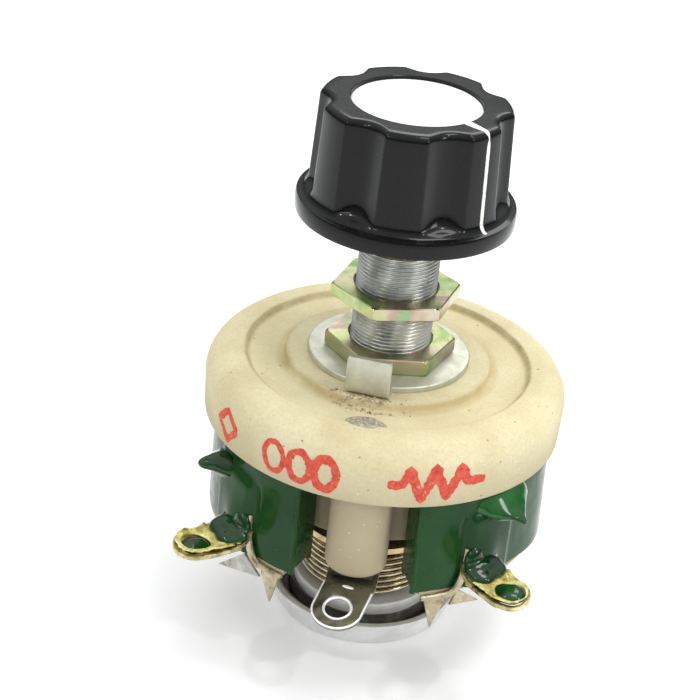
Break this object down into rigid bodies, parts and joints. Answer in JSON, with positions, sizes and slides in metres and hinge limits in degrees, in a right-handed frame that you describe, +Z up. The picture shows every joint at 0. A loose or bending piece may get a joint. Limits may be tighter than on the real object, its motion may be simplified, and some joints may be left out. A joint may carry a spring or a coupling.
{
  "type": "rotary rheostat",
  "caption": "Round ceramic rotary wirewound rheostat with an enamelled ring winding, solder lugs, threaded mounting bushing, spring loaded wiper and a fluted black pointer knob.",
  "frame": {"origin": "on the shaft axis, in the top face of the clamp nut, where the panel sits", "axes": "+Z up the shaft to the knob, -Y towards the centre terminal, +X towards the right-hand end terminal seen from the front"},
  "size_m": [0.045, 0.0491, 0.07],
  "materials": {
    "base_ceramic": "matte, fired, unglazed",
    "core_ceramic": "matte",
    "resistance_wire": "drawn wire, dulled",
    "enamel": "glossy vitreous enamel",
    "ring_cement": "rough cement",
    "strip_brass": "tarnished strip",
    "lug_glaze": "glossy blob",
    "tinned_strip": "tinned, dulled",
    "rivet_steel": "plated",
    "grey_cement": "rough grey cement",
    "slip_ring_brass": "rubbed bright",
    "mica": "layered mineral sheet",
    "bushing_nickel": "nickel plated, machined thread",
    "washer_steel": "plated sheet",
    "nut_chromate": "yellow chromate, iridescent",
    "shaft_steel": "turned",
    "clip_steel": "blackened spring steel",
    "hub_ceramic": "matte",
    "arm_brass": "spring brass, dulled",
    "graphite": "copper graphite, satin",
    "spring_steel": "drawn spring wire",
    "seat_aluminium": "satin",
    "cup_aluminium": "pressed, satin",
    "knob_phenolic": "polished phenolic",
    "cap_metal": "spun disc, satin",
    "pointer_paint": "white filling",
    "insert_brass": "turned",
    "screw_steel": "blackened"
  },
  "bodies": {
    "base": {"base_disc": "base_ceramic", "winding_core": "core_ceramic", "resistance_winding": "resistance_wire", "enamel_coat": "enamel", "ring_cement": "ring_cement", "end_terminal_left": "strip_brass", "end_terminal_right": "strip_brass", "lug_glaze_left": "lug_glaze", "lug_glaze_right": "lug_glaze", "centre_terminal": "tinned_strip", "centre_rivet": "rivet_steel", "rivet_cement": "grey_cement", "collector_ring": "slip_ring_brass", "mica_washer": "mica", "threaded_bushing": "bushing_nickel", "locating_washer": "washer_steel", "clamp_nut": "nut_chromate"},
    "panel_nut_body": {"panel_nut": "nut_chromate"},
    "rotor": {"shaft": "shaft_steel", "shaft_clip": "clip_steel", "rotor_hub": "hub_ceramic", "contact_arm": "arm_brass", "brush_holder": "arm_brass", "contact_brush": "graphite", "collector_brush": "graphite", "arm_rivet": "arm_brass", "contact_spring": "spring_steel", "spring_seat": "seat_aluminium", "rotor_cup": "cup_aluminium", "cup_clip": "clip_steel", "knob_body": "knob_phenolic", "knob_cap": "cap_metal", "knob_pointer": "pointer_paint", "knob_insert": "insert_brass", "knob_set_screw": "screw_steel"}
  },
  "joints": [
    {"name": "shaft_turn", "type": "hinge", "parent": "base", "child": "rotor", "pos_m": [0, 0, 0], "axis": [0, 0, 1], "range_deg": [-135, 135]},
    {"name": "panel_nut_travel", "type": "slide", "parent": "base", "child": "panel_nut_body", "axis": [0, 0, 1], "range_m": [-0.0052, 0.005]}
  ]
}
